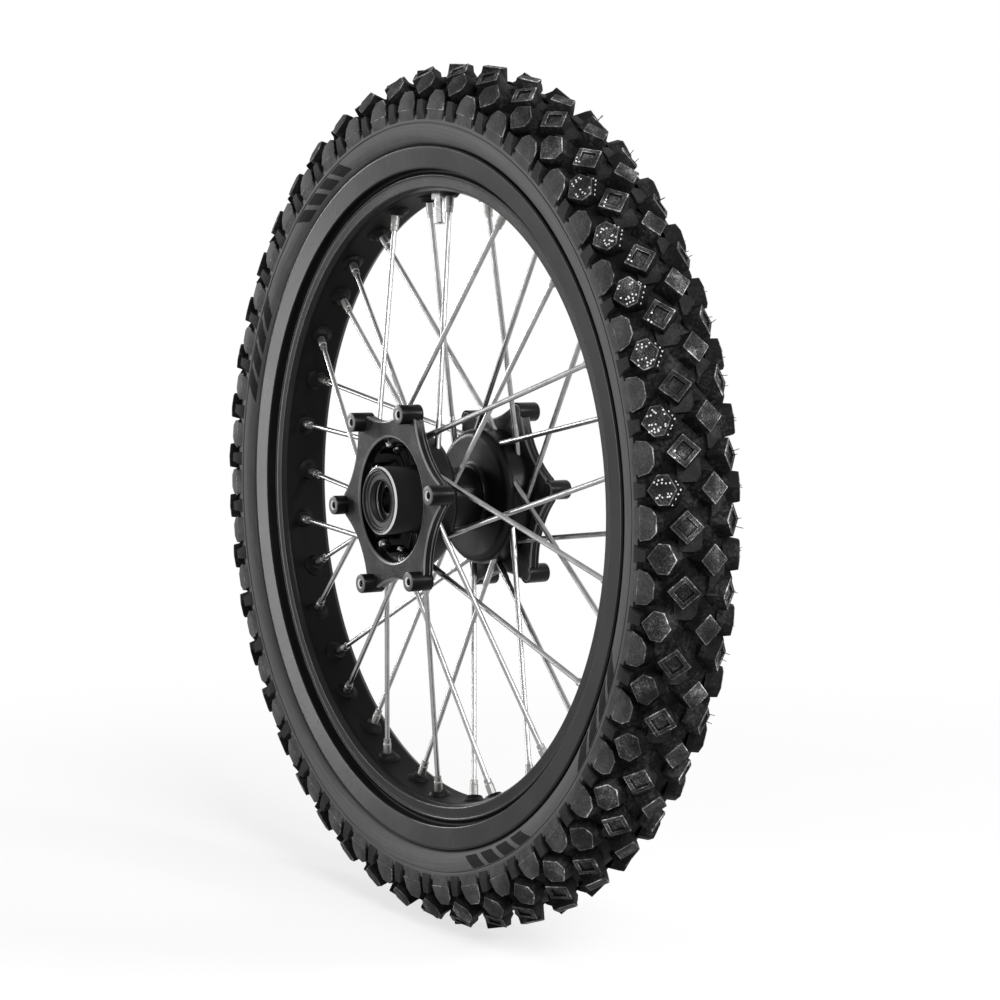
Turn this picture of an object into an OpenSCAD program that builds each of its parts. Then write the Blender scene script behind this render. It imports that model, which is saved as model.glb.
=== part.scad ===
// Spoked off-road motorcycle wheel: knobbly tyre, laced rim and cast hub.
// Millimetres. The axle runs along Y, +Z is up, and the origin is the wheel's centre.
// Each sub-part is drawn round a local Z axis and stood upright: local +Z is the near face, at -Y.

/* [Tyre] */
// Height of the tyre from bead seat to centre knobs
section_h = 69.7; // [66:0.1:74]
// Width over the casing's sidewalls
casing_w = 63; // [60:0.5:64]
// Radius of the casing's rounded sides in section
casing_r = 29; // [27:0.5:30]
// Thickness of the casing
casing_wall = 5; // [4.5:0.25:6]
// Width of each bead, from toe to heel
bead_w = 7.6; // [6:0.1:8]

/* [Tread] */
// Height of the centre knobs above the casing
knob_h = 11; // [9:0.5:12]
// Radius of the crown that the knob tops follow
crown_r = 33; // [31:0.5:34]
// Pitches round the tyre, an even number
knob_pitches = 44; // [36:2:46]
// Angle of a centre knob from the wheel's +X
knob_phase = 4.8; // [0:0.1:8]
// Lean of the inner row of knobs from the centre line
inner_lean = 33; // [30:1:36]
// Lean of the outer row of knobs
outer_lean = 58; // [56:1:61]
// Rise of the outer knobs over the crown
outer_rise = 2.4; // [0:0.2:4]
// Lean of the shoulder knobs
shoulder_lean = 79; // [76:1:82]
// Along-tread stagger of the inner knobs, one ahead and the next behind
knob_stagger = 1.6; // [0:0.1:2]
// Slope of the knobs' walls
knob_draft = 9; // [0:0.5:12]
// Across-corner half length of a centre knob
centre_knob = 10.2; // [8:0.1:10.5]
// Across-corner half length of an inner knob
inner_knob = 10.6; // [8:0.1:11]
// Half length of an outer knob, along the tread
outer_knob = 9.4; // [7:0.1:10]
// Half length of a shoulder knob, along the tread
shoulder_knob = 11.2; // [8:0.1:12]
// Side of the square recess in an inner knob
recess_w = 7.5; // [4:0.1:9]
// Depth of the recess
recess_d = 1.5; // [0.5:0.1:3]

/* [Rim] */
// Diameter of the bead seat
seat_d = 482.6; // [430:0.2:540]
// Width between the flanges at the bead seat
bead_seat_w = 40.6; // [39:0.2:44]
// Height of a flange over the bead seat
flange_h = 11.9; // [10.5:0.1:13]
// Outward flare of a flange, from bead seat to lip
flare = 6; // [4:0.25:7]
// Thickness of a flange
flange_t = 2.2; // [1.8:0.1:2.6]
// Depth of the well below the bead seat
well_depth = 17.3; // [15:0.1:19]
// Width of the well's floor
well_w = 19; // [17:0.5:20]
// Thickness of the rim's wall
rim_wall = 3; // [2.5:0.1:3.5]
// Radius of the raised seat round each nipple
dimple_r = 7; // [6:0.1:8]
// Height of the raised seat
dimple_h = 2.6; // [1.5:0.1:3.5]

/* [Spokes] */
// Spokes in each of the four sets
set_spokes = 9; // [8:1:10]
// Radius of the spoke's long shank
spoke_r = 1.85; // [1.6:0.05:2]
// Radius of the thicker butt next to the hub
butt_r = 2.3; // [2.1:0.05:2.6]
// Length of the butt
butt_l = 24; // [14:1:40]
// Radius of the spoke's head
head_r = 3.5; // [3.2:0.1:3.8]
// Thickness of the spoke's head
head_t = 2.2; // [1.8:0.1:2.8]
// Angle that a spoke runs round between hub and rim
lace_angle = 40; // [36:1:44]
// Angle of the first nipple from the wheel's +X
lace_phase = 8; // [0:1:9]
// Distance of the nipple holes from the rim's middle plane
nipple_offset = 3; // [2:0.2:4]
// Radius of the nipple's barrel
nipple_r = 3.1; // [2.9:0.1:3.3]
// Length of the nipple's barrel below its head
nipple_l = 17; // [14:0.5:20]
// Radius of the nipple's head
nipple_head_r = 4.3; // [4:0.1:4.6]

/* [Hub] */
// Width over the faces of the bolt bosses
hub_w = 117; // [114:1:122]
// Bolt circle diameter of the star flanges
star_pcd = 136; // [132:1:138]
// Angle of the first boss from the wheel's +X
star_phase = 6.6; // [0:0.1:59]
// Radius of a bolt boss
boss_r = 7; // [6.5:0.1:7.5]
// Height of a boss above the star's face
boss_h = 9.5; // [8:0.5:11]
// Core diameter of the threaded boss hole
boss_hole_d = 5; // [4.2:0.1:6]
// Thickness of the star plate
star_t = 8; // [5:0.5:8]
// Radius of the star's waist between two bosses
star_waist = 57; // [55:0.5:59]
// Radius of the star's round opening
star_open = 45; // [43.5:0.5:46]
// Outer radius of the spoke drum
drum_r = 50; // [48.5:0.5:51]
// Thickness of the spoke drum's wall
drum_wall = 8; // [7.5:0.25:9]
// Distance of the inner spoke row from the wheel's middle plane
row_in = 28; // [27:0.5:29]
// Distance of the outer spoke row from the wheel's middle plane
row_out = 38; // [37:0.5:38.5]
// Radius of the barrel between the flanges
barrel_r = 22; // [20:0.25:24]
// Radius of the rounded edge at the back of each spoke drum
back_r = 7; // [5:0.5:9]
// Distance of the drums' backs from the middle plane
back_z = 20; // [18:0.5:21]
// Outer radius of the bearing boss
nose_r = 24.5; // [23.5:0.25:26]

/* [Bearings] */
// Bore diameter for the axle
axle_d = 20; // [19:0.5:20.5]
// Outside diameter of the bearing and of its seal
bearing_d = 42; // [41.5:0.25:43]
// Width of the bearing
bearing_w = 12; // [11.5:0.25:12.5]
// Diameter of a ball
ball_d = 6.35; // [6:0.05:6.5]
// Balls in a bearing
balls = 9; // [7:1:9]
// Width of the oil seal
seal_w = 7; // [6:0.25:7.5]
// Diameter inside the seal's lip
seal_lip_d = 30; // [29:0.25:32]
// Outside diameter of the spacer between the inner rings
spacer_d = 25; // [24:0.25:27]

/* [Valve] */
// Gap between two nipples that the valve sits in, counted from the first nipple
valve_gap = 8; // [0:1:31]
// Radius of the valve's stem
stem_r = 4.1; // [3.9:0.05:4.3]
// Radius of the stem's tip, under the cap
tip_r = 3.7; // [3.6:0.05:3.8]
// How far the valve stands out below the rim, cap included
valve_l = 22; // [20:0.5:26]
// Length of the cap
cap_l = 12; // [11:0.5:13]
// Width across the flats of the rim nut
nut_af = 12; // [11:0.25:14]
// Height of the rim nut
nut_h = 4; // [3:0.25:5]
// Length of the valve's core
core_l = 10; // [8:0.5:11]
// Radius of the valve's pin
pin_r = 0.8; // [0.6:0.05:0.9]
// Travel of the valve's pin
pin_travel = 1.2; // [1:0.1:1.4]

/* [Fits] */
// Gap between the tyre and the rim's flange
bead_gap = 0.2; // [0.1:0.05:0.4]
// Gap round the spokes and nipples in their holes
hole_gap = 0.12; // [0.05:0.01:0.25]
// Gap between the inner tube and what surrounds it
tube_gap = 0.3; // [0.2:0.05:0.5]
// Running gap between a ball and its races
ball_gap = 0.05; // [0.02:0.01:0.1]
// Gap between a ball and its cage
cage_gap = 0.2; // [0.1:0.05:0.3]
// Clearance between shields and the inner ring
shield_gap = 0.2; // [0.1:0.05:0.3]
// Gap between the cap and the stem's tip
cap_gap = 0.1; // [0.05:0.01:0.2]

/* [Hidden] */
$fn = 96;
NEAR = 1;
FAR = -1;
over = 1;

// Tyre section
tyre_r = seat_d / 2 + section_h;
casing_c = tyre_r - knob_h - casing_r;
casing_flat = max(casing_w / 2 - casing_r, 0);
crown_c = tyre_r - crown_r;
crown_off = crown_c - casing_c;
knob_root = 3;
pitch = 360 / knob_pitches;

// Rim section
seat_r = seat_d / 2;
lip_r = seat_r + flange_h;
well_r = seat_r - well_depth;
well_half = well_w / 2;
flange_in = bead_seat_w / 2;
rim_half = flange_in + flange_t + flare;
side_half = flange_in + flange_t + flare / 3;
crease_r = seat_r - 1.4 * rim_wall;
bead_out = flange_in - bead_gap;
bead_in = bead_out - bead_w;
seat_in = bead_in - 0.6;
floor_r = well_r - rim_wall;
bend_r = seat_r + 0.4 * flange_h;
roll_r = (crease_r - 0.5 * rim_wall - floor_r) / 2.2;

// Lacing: a set is one flange's leading or trailing spokes
set_step = 360 / set_spokes;
lace_step = set_step / 4;
seat_point_r = drum_r - drum_wall / 2;
nipple_seat_r = well_r - 0.8;
nipple_head_h = 2.2;
nipple_slant = 16;
head_top_r = nipple_seat_r + nipple_head_h + nipple_head_r * sin(nipple_slant);
strip_r = head_top_r + tube_gap;
strip_t = 1.2;
pocket_r = head_r + 0.4;

// Hub levels, measured from the middle plane
boss_z = hub_w / 2;
star_z = boss_z - boss_h;
drum_z = star_z - star_t;
drum_in = drum_r - drum_wall;
floor_z = back_z + drum_wall / 2;
seal_z = boss_z - 1;
bearing_z = seal_z - seal_w - 0.5;
shoulder_z = bearing_z - bearing_w;
bearing_r = bearing_d / 2;
axle_r = axle_d / 2;
shoulder_r = bearing_r - 4;
nose_chamfer = 1.2;
scallop_c = 1.8 * star_pcd / 2;
star_pcr = star_pcd / 2;
arm_step = 0.8;

// Bearing section
race_pitch_r = (axle_r + bearing_r) / 2;
ball_r = ball_d / 2;
race_lip = 0.6 * ball_r;
inner_land_r = race_pitch_r - race_lip;
outer_land_r = race_pitch_r + race_lip;
cage_t = 1.6;
cage_half = ball_r + 1.2;
shield_t = 0.6;
shield_inset = 0.4;

// Inner tube section
tube_wall = 2;
tube_r = casing_r - casing_wall - tube_gap;
tube_floor_r = strip_r + strip_t + 1.4;
tube_neck = min(well_half - 1.2, bead_in - 2);

// Valve place, and its levels as distances from the wheel's axis
valve_angle = lace_phase + (valve_gap + 0.5) * lace_step;
stem_flange_t = 1.2;
stem_flange_r = 7;
stem_top = sqrt(pow(tube_floor_r, 2) - pow(stem_flange_r, 2)) - hole_gap / 2;
nut_corner_r = nut_af / 2 / cos(30);
nut_seat = sqrt(pow(floor_r, 2) - pow(nut_corner_r, 2));
valve_end = floor_r - valve_l;
cap_top = valve_end + cap_l;
cap_wall = 0.9;
tip_end = valve_end + 2.4;
core_r = 2.2;
core_end = tip_end + 1.4;
core_top = core_end + core_l;
pin_end = tip_end + 0.4;
pin_cup_r = 1.7;

tyre_colour = "#2b2b2c";
rim_colour = "#1d1e20";
bright = "#c9cac8";
hub_colour = "#232425";
steel = "#b9bcbf";

// Placing

// Stands a sub-part drawn round local Z upright, with local +Z as the near face
module upright() rotate([90, 0, 0]) children();

// Puts children drawn for the near side on either side of the middle plane
module on_side(side) mirror([0, 0, side == FAR ? 1 : 0]) children();

// Lays children's +Z along the line from one point to another
module along(from, to) {
    run = to - from;
    translate(from)
        rotate([0, acos(run[2] / norm(run)), atan2(run[1], run[0])])
            children();
}

// Sets children radially, with +Z pointing away from the axle, at the valve's angle
module at_valve() rotate([0, 0, valve_angle]) rotate([0, 90, 0]) children();

// A ring between two radii and two levels
module ring(inside, outside, low, high) {
    translate([0, 0, low])
        linear_extrude(high - low)
            difference() {
                circle(r = outside);
                circle(r = inside);
            }
}

// Tyre

// Depth of the casing below a knob's top at a given lean
function knob_depth(lean) =
    let (ahead = crown_off * cos(lean) - casing_flat * sin(lean))
    let (apart = pow(crown_off, 2) + pow(casing_flat, 2))
    crown_r + ahead - sqrt(pow(ahead, 2) - apart + pow(casing_r, 2));

// Knob outlines as [across towards the shoulder, along the tread]
centre_outline = [[centre_knob, 0], [0, centre_knob], [-centre_knob, 0], [0, -centre_knob]];
inner_outline = [[inner_knob, 0], [0, inner_knob], [-inner_knob, 0], [0, -inner_knob]];
outer_outline = [
    [9.8, 0], [2.8, outer_knob], [-4.2, outer_knob],
    [-9.8, 0], [-4.2, -outer_knob], [2.8, -outer_knob]
];
shoulder_outline = [
    [6.6, shoulder_knob], [-1.6, shoulder_knob - 1.2], [-7.4, 2.2],
    [-7.4, -2.2], [-1.6, 1.2 - shoulder_knob], [6.6, -shoulder_knob]
];

// A prism on an outline whose walls spread downwards, its top at the given height
module drafted(outline, half, height) {
    n = len(outline);
    flared = 1 + height * tan(knob_draft) / half;
    polyhedron(
        points = concat(
            [for (p = outline) [p[0] * flared, p[1] * flared, 0]],
            [for (p = outline) [p[0], p[1], height]]
        ),
        faces = concat(
            [[for (i = [0 : n - 1]) i]],
            [[for (i = [n - 1 : -1 : 0]) n + i]],
            [for (i = [0 : n - 1]) [i, n + i, n + (i + 1) % n, (i + 1) % n]]
        )
    );
}

// One knob, its top on the crown and its root sunk into the casing
module knob(outline, half, lean, angle, recess = 0, rise = 0) {
    root = knob_depth(lean) + knob_root;
    height = root + rise;
    rotate([0, 0, angle])
        translate([crown_c, 0, 0])
            rotate([0, -lean, 0])
                translate([crown_r - root, 0, 0])
                    rotate([0, 90, 0])
                        mirror([1, 0, 0])
                            difference() {
                                drafted(outline, half, height);
                                if (recess > 0)
                                    translate([0, 0, height])
                                        rotate(45)
                                            cube([recess, recess, 2 * recess_d], center = true);
                            }
}

// The casing's rounded box at a given inset, in 15 degree bands
module casing_form(inset) {
    band_r = (casing_r - inset) / cos(7.5);
    polygon([
        for (a = [-172.5 : 15 : 180])
            [casing_c + band_r * cos(a), band_r * sin(a) + (a > 0 ? casing_flat : -casing_flat)]
    ]);
}

// Half width of the casing at a given inset and distance from the axle
function casing_y(inset, r) = casing_flat + sqrt(max(0, pow(casing_r - inset, 2) - pow(r - casing_c, 2)));

// The horseshoe section of the casing, cut to fit the rim's flanges and bead seats
module casing_section() {
    leg_r = lip_r + 4;
    wide = casing_w;
    difference() {
        union() {
            difference() {
                casing_form(0);
                casing_form(casing_wall);
                translate([0, -wide]) square([lip_r + 2, 2 * wide]);
            }
            for (s = [-1, 1])
                polygon([
                    [seat_r, s * bead_in],
                    [seat_r, s * bead_out],
                    [leg_r, s * (casing_y(0, leg_r) - 0.3)],
                    [leg_r, s * (casing_y(casing_wall, leg_r) + 0.3)]
                ]);
        }
        for (s = [-1, 1])
            polygon([
                [seat_r - over, s * bead_out],
                [bend_r, s * bead_out],
                [lip_r - flange_t, s * (bead_out + flare / 2)],
                [lip_r + bead_gap, s * (bead_out + 0.85 * flare)],
                [lip_r + bead_gap, s * wide],
                [seat_r - over, s * wide]
            ]);
    }
}

module tread() {
    stagger = knob_stagger / tyre_r * 180 / PI;
    for (k = [0 : knob_pitches - 1])
        knob(centre_outline, centre_knob, 0, knob_phase + k * pitch);
    for (side = [NEAR, FAR])
        on_side(side)
            for (k = [0 : knob_pitches - 1]) {
                line = knob_phase + k * pitch;
                between = line + pitch / 2;
                ahead = k % 2 == 0 ? stagger : -stagger;
                knob(inner_outline, inner_knob, inner_lean, between + side * ahead, recess_w);
                knob(outer_outline, outer_knob, outer_lean, line, rise = outer_rise);
                knob(shoulder_outline, shoulder_knob, shoulder_lean, between);
            }
}

module tyre() color(tyre_colour) upright() {
    union() {
        rotate_extrude() casing_section();
        tread();
    }
}

// The tube's section at a given inset from its skin
module tube_section(inset) {
    neck = tube_neck - inset;
    neck_c = tube_floor_r + tube_neck;
    translate([casing_c, 0]) circle(r = tube_r - inset);
    translate([neck_c, 0]) circle(r = neck);
    translate([neck_c, -neck]) square([casing_c - neck_c, 2 * neck]);
}

module inner_tube() color("#1a1a1b") upright() {
    difference() {
        rotate_extrude()
            difference() {
                tube_section(0);
                tube_section(tube_wall);
            }
        at_valve() translate([0, 0, stem_top - over]) cylinder(r = core_r, h = tube_wall + 2 * over);
    }
}

module rim_strip() color("#3a3a3a") upright() {
    difference() {
        ring(strip_r, strip_r + strip_t, 0.8 - well_half, well_half - 0.8);
        at_valve() translate([0, 0, strip_r - over]) cylinder(r = stem_r + tube_gap, h = strip_t + 2 * over);
    }
}

// Rim

// Half of the rim's section, on the near side of its middle plane
module rim_half_section() {
    chamber_r = floor_r + rim_wall;
    chamber_top = seat_r - 1.3 * rim_wall;
    difference() {
        union() {
            polygon([
                [floor_r, 0],
                [well_r, 0],
                [well_r, well_half],
                [seat_r, seat_in],
                [seat_r, flange_in],
                [bend_r, flange_in],
                [lip_r - flange_t, flange_in + flare / 2],
                [lip_r - flange_t / 2, rim_half - flange_t / 2],
                [lip_r - flange_t / 2, rim_half],
                [lip_r - flange_t, rim_half - 0.15 * flange_t],
                [(lip_r + crease_r) / 2, side_half + 0.35 * (rim_half - side_half)],
                [crease_r + 0.3 * rim_wall, side_half],
                [crease_r, side_half - 1.1 * rim_wall],
                [crease_r - 0.5 * rim_wall, side_half - 1.1 * rim_wall],
                [floor_r + roll_r, side_half - roll_r],
                [floor_r, side_half - 1.3 * roll_r]
            ]);
            translate([floor_r + 1.15 * roll_r, side_half - roll_r]) circle(r = roll_r);
            translate([lip_r - flange_t / 2, rim_half - flange_t / 2]) circle(d = flange_t);
        }
        polygon([
            [chamber_r, well_half + rim_wall],
            [chamber_r, side_half - 1.7 * rim_wall],
            [crease_r - 1.5 * rim_wall, side_half - 1.7 * rim_wall],
            [chamber_top, seat_in + 1.4 * rim_wall]
        ]);
    }
}

module rim() color(rim_colour) upright() {
    difference() {
        union() {
            rotate_extrude() {
                rim_half_section();
                mirror([0, 1]) rim_half_section();
            }
            for (side = [NEAR, FAR], turn = [-1, 1])
                each_spoke(side, turn)
                    translate([0, 0, -rim_wall - dimple_h])
                        cylinder(r1 = dimple_r - 2, r2 = dimple_r, h = dimple_h + rim_wall / 2);
        }
        for (side = [NEAR, FAR], turn = [-1, 1])
            each_spoke(side, turn) {
                translate([0, 0, -2 * (rim_wall + dimple_h)])
                    cylinder(r = nipple_r + hole_gap, h = 4 * (rim_wall + dimple_h));
                cylinder(r = nipple_head_r + hole_gap, h = nipple_l);
            }
        at_valve() translate([0, 0, floor_r - over]) cylinder(r = stem_r + hole_gap, h = rim_wall + 2 * over);
    }
}

// Spokes

// Distance of a set's hub holes from the middle plane
function row_z(side, turn) = side * turn > 0 ? row_out : row_in;

// The nipple angle of one spoke: near and far alternate, and so do leading and trailing
function nipple_angle(side, turn, k) =
    lace_phase + k * set_step + lace_step * (side == NEAR ? (turn > 0 ? 2 : 0) : (turn > 0 ? 1 : 3));

// Where the nipple's head seats in the rim
function rim_point(side, turn, k) =
    let (a = nipple_angle(side, turn, k))
    [nipple_seat_r * cos(a), nipple_seat_r * sin(a), side * nipple_offset];

// Where the spoke's head seats in the hub's drum
function hub_point(side, turn, k) =
    let (a = nipple_angle(side, turn, k) + turn * lace_angle)
    [seat_point_r * cos(a), seat_point_r * sin(a), side * row_z(side, turn)];

// Children on each spoke of a set, with +Z running on from the nipple's seat
module each_spoke(side, turn) {
    for (k = [0 : set_spokes - 1]) {
        rim_end = rim_point(side, turn, k);
        run = rim_end - hub_point(side, turn, k);
        along(rim_end, rim_end + run) children();
    }
}

// Children on each spoke of a set, with +Z running out from the head's seat
module each_head(side, turn) {
    for (k = [0 : set_spokes - 1])
        along(hub_point(side, turn, k), rim_point(side, turn, k)) children();
}

// A set of spokes: head, thick butt, taper and long shank
module spokes(side, turn) color(bright) upright() {
    length = norm(rim_point(side, turn, 0) - hub_point(side, turn, 0)) + nipple_head_h / 2;
    taper = 3;
    each_head(side, turn)
        rotate_extrude()
            polygon([
                [0, -head_t], [head_r - 0.8, -head_t], [head_r, 0.8 - head_t], [head_r, 0],
                [butt_r, 0], [butt_r, butt_l], [spoke_r, butt_l + taper],
                [spoke_r, length], [0, length]
            ]);
}

module nipples(side) color(bright) upright() {
    bore = spoke_r + hole_gap / 2;
    collar_r = nipple_r - 0.35;
    for (turn = [-1, 1])
        each_spoke(side, turn)
            rotate_extrude()
                polygon([
                    [bore, -nipple_l], [collar_r, -nipple_l], [collar_r, 3 - nipple_l], [nipple_r, 4 - nipple_l],
                    [nipple_r, 0], [nipple_head_r, 0], [nipple_head_r, nipple_head_h], [bore, nipple_head_h]
                ]);
}

module spokes_near_out() spokes(NEAR, 1);
module spokes_near_in() spokes(NEAR, -1);
module spokes_far_out() spokes(FAR, -1);
module spokes_far_in() spokes(FAR, 1);
module nipples_near() nipples(NEAR);
module nipples_far() nipples(FAR);

// Valve

module valve_stem() color(bright) upright() at_valve() {
    difference() {
        union() {
            translate([0, 0, tip_end]) cylinder(r = tip_r, h = stem_top - tip_end);
            translate([0, 0, cap_top + over]) cylinder(r = stem_r, h = stem_top - cap_top - over);
            translate([0, 0, stem_top - stem_flange_t]) cylinder(r = stem_flange_r, h = stem_flange_t);
        }
        translate([0, 0, tip_end - over]) cylinder(r = core_r, h = stem_top - tip_end + 2 * over);
    }
}

module valve_nut() color(bright) upright() at_valve() {
    difference() {
        translate([0, 0, nut_seat - nut_h]) cylinder(r = nut_corner_r, h = nut_h, $fn = 6);
        translate([0, 0, nut_seat - nut_h - over]) cylinder(r = stem_r + hole_gap / 2, h = nut_h + 2 * over);
    }
}

module valve_cap() color(bright) upright() at_valve() {
    translate([0, 0, valve_end])
        rotate_extrude()
            polygon([
                [0, 0], [tip_r + cap_wall - 1, 0], [tip_r + cap_gap + cap_wall, 1],
                [tip_r + cap_gap + cap_wall, cap_l], [tip_r + cap_gap, cap_l],
                [tip_r + cap_gap, 1.2], [0, 1.2]
            ]);
}

module valve_core() color("#b59a55") upright() at_valve()
    ring(pin_r + cap_gap, core_r - hole_gap / 2, core_end, core_top);

module valve_pin() color("#b59a55") upright() at_valve() {
    translate([0, 0, pin_end]) cylinder(r = pin_r, h = core_top - pin_end + 1);
    translate([0, 0, core_top + cap_gap]) cylinder(r = pin_cup_r, h = 1.6);
}

// Hub

// The star's outline: six arms between scooped-out waists
module star_outline() {
    difference() {
        circle(r = star_pcr);
        for (k = [0 : 5])
            rotate(60 * k + 30) translate([scallop_c, 0]) circle(r = scallop_c - star_waist);
    }
    for (k = [0 : 5])
        rotate(60 * k) translate([star_pcr, 0]) circle(r = boss_r - arm_step);
}

// The hub's turned section: barrel, rounded flange backs, spoke drums and bearing noses
module hub_section() {
    drum_mid = back_z + back_r;
    difference() {
        union() {
            translate([0, -drum_mid]) square([barrel_r, 2 * drum_mid]);
            for (s = [0, 1])
                mirror([0, s]) {
                    intersection() {
                        translate([drum_r - back_r, drum_mid]) circle(r = back_r);
                        square([drum_r, drum_z + over]);
                    }
                    translate([0, back_z]) square([drum_r - back_r, drum_z + over - back_z]);
                    translate([0, drum_mid]) square([drum_r, drum_z + over - drum_mid]);
                    translate([0, floor_z]) square([nose_r, boss_z - nose_chamfer - floor_z]);
                    translate([0, floor_z]) square([nose_r - nose_chamfer, boss_z - floor_z]);
                }
        }
        for (s = [0, 1])
            mirror([0, s]) {
                translate([nose_r, floor_z]) square([drum_in - nose_r, boss_z]);
                translate([0, shoulder_z]) square([bearing_r, boss_z]);
            }
        translate([0, -boss_z]) square([shoulder_r, 2 * boss_z]);
    }
}

// One star flange with its bosses
module star() {
    rotate([0, 0, star_phase]) {
        translate([0, 0, drum_z])
            linear_extrude(star_t)
                difference() {
                    star_outline();
                    circle(r = star_open);
                }
        for (k = [0 : 5])
            rotate([0, 0, 60 * k]) translate([star_pcr, 0, drum_z]) cylinder(r = boss_r, h = boss_z - drum_z);
    }
}

module hub_shell() color(hub_colour) upright() {
    difference() {
        union() {
            rotate_extrude() hub_section();
            for (side = [NEAR, FAR])
                on_side(side) star();
        }
        for (side = [NEAR, FAR], turn = [-1, 1])
            each_head(side, turn) {
                cylinder(r = butt_r + hole_gap, h = butt_l);
                translate([0, 0, -drum_wall]) cylinder(r = pocket_r, h = drum_wall);
            }
        for (side = [NEAR, FAR], k = [0 : 5])
            on_side(side) rotate([0, 0, star_phase + 60 * k]) translate([star_pcr, 0, drum_z - over])
                cylinder(d = boss_hole_d, h = boss_z - drum_z + 2 * over);
    }
}

// Bearings and seals

module bearing_side(side) upright() on_side(side) translate([0, 0, shoulder_z]) children();

// The two race grooves as one ring of round section
module race_groove()
    translate([0, 0, bearing_w / 2]) rotate_extrude() translate([race_pitch_r, 0]) circle(r = ball_r + ball_gap);

module outer_ring(side) color(steel) bearing_side(side) difference() {
    ring(outer_land_r, bearing_r, 0, bearing_w);
    race_groove();
}

module inner_ring(side) color(steel) bearing_side(side) difference() {
    ring(axle_r, inner_land_r, 0, bearing_w);
    race_groove();
}

// A ball's place in the row
module each_ball()
    for (k = [0 : balls - 1])
        rotate([0, 0, 360 * k / balls]) translate([race_pitch_r, 0, bearing_w / 2]) children();

module bearing_cage(side) color("#9a7b3c") bearing_side(side) difference() {
    ring(race_pitch_r - cage_t / 2, race_pitch_r + cage_t / 2,
        bearing_w / 2 - cage_half, bearing_w / 2 + cage_half);
    each_ball() rotate([0, 90, 0]) cylinder(r = ball_r + cage_gap, h = 4 * cage_t, center = true);
}

module bearing_balls(side) color(steel) bearing_side(side) each_ball() sphere(r = ball_r);

module bearing_shields(side) color("#55585b") bearing_side(side) {
    ring(inner_land_r + shield_gap, outer_land_r, shield_inset, shield_inset + shield_t);
    ring(inner_land_r + shield_gap, outer_land_r, bearing_w - shield_inset - shield_t, bearing_w - shield_inset);
}

// The seal: a cased ring with a sprung lip and a recessed face
module oil_seal(side) color("#4a4b4d") upright() on_side(side) {
    lip_r = seal_lip_d / 2;
    translate([0, 0, seal_z - seal_w])
        rotate_extrude()
            polygon([
                [bearing_r, 0], [bearing_r, seal_w], [bearing_r - 1.5, seal_w], [bearing_r - 2, seal_w - 1.2],
                [lip_r + 1, seal_w - 1.2], [lip_r, seal_w - 0.4], [lip_r + 0.8, seal_w - 2.2],
                [lip_r + 0.2, 2], [lip_r + 1.4, 1.4], [bearing_r - 2, seal_w - 3], [bearing_r - 2, 0]
            ]);
}

module bearing_near_outer_ring() outer_ring(NEAR);
module bearing_near_inner_ring() inner_ring(NEAR);
module bearing_near_cage() bearing_cage(NEAR);
module bearing_near_balls() bearing_balls(NEAR);
module bearing_near_shields() bearing_shields(NEAR);
module oil_seal_near() oil_seal(NEAR);
module bearing_far_outer_ring() outer_ring(FAR);
module bearing_far_inner_ring() inner_ring(FAR);
module bearing_far_cage() bearing_cage(FAR);
module bearing_far_balls() bearing_balls(FAR);
module bearing_far_shields() bearing_shields(FAR);
module oil_seal_far() oil_seal(FAR);

module axle_spacer() color(steel) upright() ring(axle_r, spacer_d / 2, -shoulder_z, shoulder_z);

tyre();
inner_tube();
rim_strip();
rim();
spokes_near_out();
spokes_near_in();
spokes_far_out();
spokes_far_in();
nipples_near();
nipples_far();
valve_stem();
valve_nut();
valve_cap();
valve_core();
valve_pin();
hub_shell();
bearing_near_outer_ring();
bearing_near_inner_ring();
bearing_near_cage();
bearing_near_balls();
bearing_near_shields();
oil_seal_near();
bearing_far_outer_ring();
bearing_far_inner_ring();
bearing_far_cage();
bearing_far_balls();
bearing_far_shields();
oil_seal_far();
axle_spacer();
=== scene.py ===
"""Spoked off-road motorcycle wheel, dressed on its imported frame: knobbly tyre, laced rim and star hub."""

from math import atan, cos, hypot, pi, radians, sin, sqrt
from random import Random

import bmesh
import bpy
from bpy.props import FloatProperty, FloatVectorProperty, IntProperty, PointerProperty
from mathutils import Matrix, Vector


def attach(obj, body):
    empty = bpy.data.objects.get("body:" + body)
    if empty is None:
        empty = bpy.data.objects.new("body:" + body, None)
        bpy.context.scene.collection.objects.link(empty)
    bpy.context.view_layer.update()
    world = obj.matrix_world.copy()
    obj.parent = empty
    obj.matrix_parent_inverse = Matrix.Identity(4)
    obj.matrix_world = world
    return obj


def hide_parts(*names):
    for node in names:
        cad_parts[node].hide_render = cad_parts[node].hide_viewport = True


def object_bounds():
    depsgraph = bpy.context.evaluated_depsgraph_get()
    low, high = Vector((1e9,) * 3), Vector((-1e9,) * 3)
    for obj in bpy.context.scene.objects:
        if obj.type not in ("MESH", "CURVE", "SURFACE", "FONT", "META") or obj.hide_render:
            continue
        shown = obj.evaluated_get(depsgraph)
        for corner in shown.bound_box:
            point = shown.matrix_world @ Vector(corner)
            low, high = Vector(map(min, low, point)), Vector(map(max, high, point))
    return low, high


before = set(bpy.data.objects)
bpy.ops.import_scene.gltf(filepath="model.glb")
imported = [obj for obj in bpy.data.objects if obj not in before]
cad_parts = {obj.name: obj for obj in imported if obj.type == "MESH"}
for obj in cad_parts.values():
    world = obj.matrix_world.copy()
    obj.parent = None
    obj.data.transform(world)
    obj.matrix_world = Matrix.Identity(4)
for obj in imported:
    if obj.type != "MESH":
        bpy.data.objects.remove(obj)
CAD_BOX = [list(corner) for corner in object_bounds()]

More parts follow.
